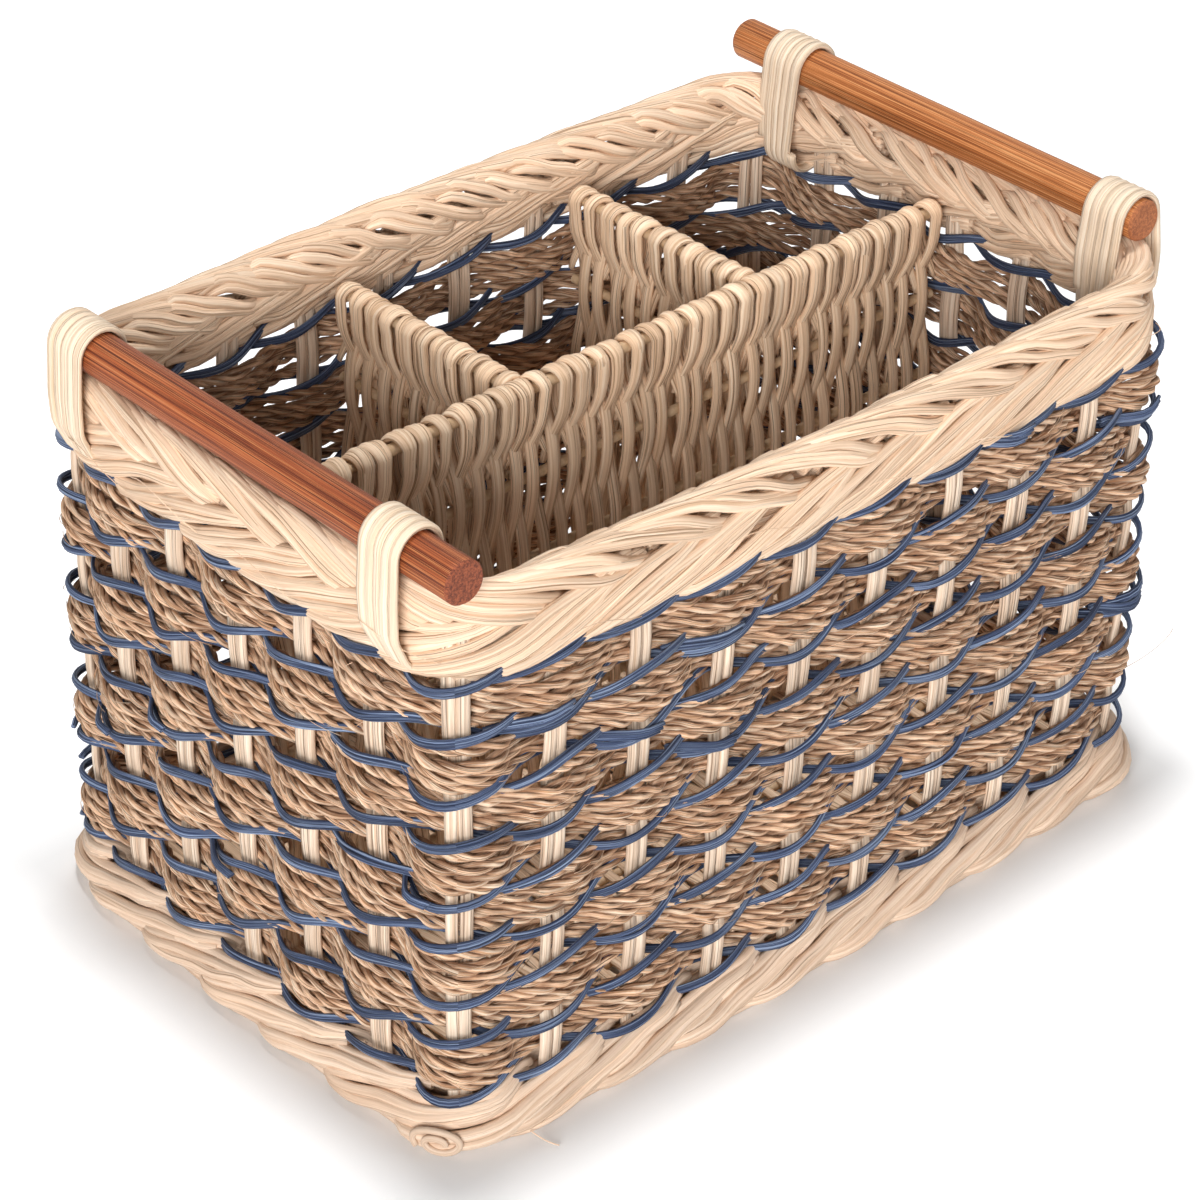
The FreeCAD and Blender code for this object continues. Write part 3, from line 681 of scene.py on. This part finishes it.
def dowel_piece(side, name, middle, finish, end_finish):
    """Dowel with sawn, slightly rough ends, along Y."""
    work = bmesh.new()
    steps = np.linspace(-dowel_half, dowel_half, dowel_steps)
    path = np.column_stack([np.full(dowel_steps, side * handle_place), middle + steps,
                            np.full(dowel_steps, handle_height)])
    swell = 1 + drift(steps * 100, 0.006, 1, 12)
    add_strands(work, [path], 2 * dowel_radius, sides=28, swells=[swell])
    edges = [edge for edge in work.edges if edge.is_boundary]
    caps = bmesh.ops.holes_fill(work, edges=edges)["faces"]
    for cap in caps:
        facing = 1 if cap.calc_center_median().y > middle else -1
        rim = bmesh.ops.inset_region(work, faces=[cap], thickness=dowel_chamfer)
        bmesh.ops.translate(work, verts=cap.verts, vec=(0, facing * 0.0009, 0))
        for face in rim["faces"] + [cap]:
            face.material_index = 1
        inner = bmesh.ops.poke(work, faces=[cap])
        for vertex in inner["verts"]:
            vertex.co.y += facing * 0.0001
    return finish_piece("dowel_" + name, work, [finish, end_finish],
                        ["handle_" + name], name + "_handle")


def lashing_piece(side, name, centre):
    """One flat reed in loops round handle and rim, laid out with Y as its third axis."""
    circles = np.array(((handle_place, handle_height, 0.00775), (handle_place, 0.1748, 0.0089),
                        (handle_place + 0.0010, 0.1678, 0.0078),
                        (handle_place - 0.0015, 0.1616, 0.0075)))
    angle = np.linspace(-math.pi, math.pi, 181)[:-1]
    normal = np.column_stack([np.cos(angle), np.sin(angle)])
    best = (normal @ circles[:, :2].T + circles[:, 2]).argmax(axis=1)
    loop = circles[best, :2] + normal * circles[best, 2:]
    closed_loop = np.vstack([loop, loop[:1]])
    run = np.concatenate([[0], np.cumsum(np.linalg.norm(np.diff(closed_loop, axis=0), axis=1))])
    spots = np.linspace(0, run[-1], lashing_steps, endpoint=False)
    loop = np.column_stack([np.interp(spots, run, closed_loop[:, axis]) for axis in (0, 1)])
    path = np.tile(loop, (lashing_loops, 1))
    travel = np.arange(len(path)) / len(loop) - lashing_loops / 2
    gather = 0.78 + 0.22 * ease((path[:, 1] - 0.150) / 0.026)
    across = centre + travel * lashing_pitch * gather + drift(travel * 6, 0.0002, 1, 9)
    path = np.column_stack([side * path[:, 0], path[:, 1], across])
    work = bmesh.new()
    turn = Matrix(((1, 0, 0, 0), (0, 0, 1, 0), (0, 1, 0, 0), (0, 0, 0, 1)))
    add_strands(work, [path], 0.003, turn=turn, section=flat_section(0.0019, 0.0033, 0.07, 14),
                swells=[1 + drift(travel * 6, 0.01, 2, 9)])
    return finish_piece("cane_" + name, work, [lashing_cane], ["lashing_" + name])


groups = {"corner": [], "front": [], "right": [], "back": [], "left": []}
number = 0
for side, steps in zip(("front", "right", "back", "left"), stakes_per_side):
    for step in range(steps):
        groups["corner" if step == 0 else side].append(number)
        number += 1
for group, numbers in groups.items():
    stake_piece(group, numbers)
for row in range(1, twined_rows + 1):
    twined_piece(row)
for row in range(1, rope_rows + 1):
    rope_piece(row)
rim_piece()
foot_piece()
base_piece()
stand_along_x = Matrix(((0, 0, 1, 0), (0, 1, 0, long_divider_place), (1, 0, 0, 0), (0, 0, 0, 1)))
divider_piece("canes_long", -0.1314, 0.1314, "long_divider_weave", stand_along_x)
for side, x, end in (("left", -0.036, 0.0812), ("right", 0.056, 0.0808)):
    stand_along_y = Matrix(((0, 1, 0, x), (0, 0, 1, 0), (1, 0, 0, 0), (0, 0, 0, 1)))
    divider_piece("canes_" + side, 0.0068, end, "cross_divider_%s_weave" % side, stand_along_y)
red_dowel = dowel_finish("red_dowel", (0.085, 0.017, 0.006), (0.255, 0.057, 0.018),
                         (0.40, 0.11, 0.037), (0.60, 0.235, 0.088))
red_end = end_grain_finish("red_dowel_end", (0.10, 0.020, 0.010), (0.38, 0.10, 0.040))
# The right dowel's colours are lighter than the left's partly to stand in for the light that falls on it:
# painted light over its own stain.
lit_tan_dowel = dowel_finish("lit_tan_dowel", (0.18, 0.048, 0.012), (0.43, 0.138, 0.040),
                         (0.58, 0.225, 0.076), (0.75, 0.385, 0.16))
lit_tan_end = end_grain_finish("lit_tan_dowel_end", (0.24, 0.070, 0.025), (0.52, 0.18, 0.065))
dowel_piece(-1, "left", -0.008, red_dowel, red_end)
dowel_piece(1, "right", 0.008, lit_tan_dowel, lit_tan_end)
for side_name, side in (("left", -1), ("right", 1)):
    for end_name, centre in (("front", -0.0664), ("back", 0.0664)):
        lashing_piece(side, side_name + "_" + end_name, centre)
for name, cad_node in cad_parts.items():
    if name.endswith(("_rods", "_top_rod", "_sticks")):
        cad_node.data.materials.clear()
        cad_node.data.materials.append(peeled_rod)


# Floor, light and camera

def floor_finish():
    """White floor that keeps the shadow; the camera sees it a little lifted to white, but the lift fades
    out towards the basket's foot, which paints a shadow round it.
    """
    material, tree, shader = new_finish("studio_floor")
    place = node(tree, "TexCoord").outputs["Object"]
    cloud = node(tree, "TexNoise", Vector=place, Scale=3.0, Detail=2.0).outputs["Fac"]
    tree.links.new(ramp(tree, cloud, [(0.3, (0.84, 0.84, 0.84)), (0.7, (0.86, 0.86, 0.86))]),
                   shader.inputs["Base Color"])
    shader.inputs["Roughness"].default_value = 0.9
    shader.inputs["Specular IOR Level"].default_value = 0.0
    shader.inputs["Emission Color"].default_value = (1, 1, 1, 1)
    # Painted shadow: the lift is nil at the foot and full 4.5 cm away, so the floor round the basket
    # stays darker than the rest.
    away = node(tree, "VectorMath", {"operation": "ABSOLUTE"}, i0=place).outputs["Vector"]
    away = node(tree, "VectorMath", {"operation": "SUBTRACT"}, i0=away, i1=(0.145, 0.095, 0))
    away = node(tree, "VectorMath", {"operation": "MAXIMUM"}, i0=away.outputs["Vector"], i1=(0, 0, 0))
    away = node(tree, "VectorMath", {"operation": "LENGTH"}, i0=away.outputs["Vector"]).outputs["Value"]
    lift = node(tree, "MapRange", Value=away, From_Min=0.002, From_Max=0.045, To_Min=0.0, To_Max=0.45)
    tree.links.new(math_node(tree, "MULTIPLY", seen_directly(tree), lift.outputs["Result"]),
                   shader.inputs["Emission Strength"])
    return material


def studio():
    work = bmesh.new()
    bmesh.ops.create_grid(work, x_segments=4, y_segments=4, size=6)
    mesh = bpy.data.meshes.new("studio_floor")
    work.to_mesh(mesh)
    work.free()
    mesh.materials.append(floor_finish())
    floor = bpy.data.objects.new("studio_floor", mesh)
    scene.collection.objects.link(floor)
    world = bpy.data.worlds.new("studio")
    scene.world = world
    world.use_nodes = True
    tree = world.node_tree
    ground = tree.nodes["Background"]
    ground.inputs["Color"].default_value = (1, 1, 1, 1)
    strength = node(tree, "MapRange", Value=seen_directly(tree), To_Min=0.12, To_Max=1.0)
    tree.links.new(strength.outputs["Result"], ground.inputs["Strength"])
    lamps = (("key", (-2.4, -1.7, 1.1), 1.4, 98.0), ("fill", (1.6, -2.6, 1.0), 1.4, 22.0),
             ("top", (0.1, 0.22, 3.0), 0.5, 54.0))
    for name, spot, size, power in lamps:
        light = bpy.data.lights.new(name, "AREA")
        light.size = size
        light.energy = power
        lamp = bpy.data.objects.new(name, light)
        lamp.location = spot
        lamp.rotation_euler = (Vector((0, 0, 0.09)) - Vector(spot)).to_track_quat("-Z", "Y").to_euler()
        scene.collection.objects.link(lamp)


def photo_camera():
    """The photograph's viewpoint, fitted to its square frame."""
    photo_pixels, focal_pixels, sensor = 1200, 3835.45, 36
    centre_across, centre_down = 618.27, 564.10
    turn, rise, roll = (math.radians(angle) for angle in (-43.087, 32.794, 0.965))
    back = Vector((math.sin(turn) * math.cos(rise), -math.cos(turn) * math.cos(rise), math.sin(rise)))
    level = Vector((0, 0, 1)).cross(back).normalized()
    upright = back.cross(level)
    right = level * math.cos(roll) + upright * math.sin(roll)
    top = upright * math.cos(roll) - level * math.sin(roll)
    eye = Vector((0, 0, 0.092)) + back * 1.13
    data = bpy.data.cameras.new("photo_camera")
    data.sensor_width = sensor
    data.lens = focal_pixels / photo_pixels * sensor
    data.shift_x = (photo_pixels / 2 - centre_across) / photo_pixels
    data.shift_y = (centre_down - photo_pixels / 2) / photo_pixels
    camera = bpy.data.objects.new("photo_camera", data)
    camera.matrix_world = Matrix(((right.x, top.x, back.x, eye.x), (right.y, top.y, back.y, eye.y),
                                  (right.z, top.z, back.z, eye.z), (0, 0, 0, 1)))
    scene.collection.objects.link(camera)
    scene.camera = camera


studio()
photo_camera()
scene.view_settings.view_transform = "Standard"
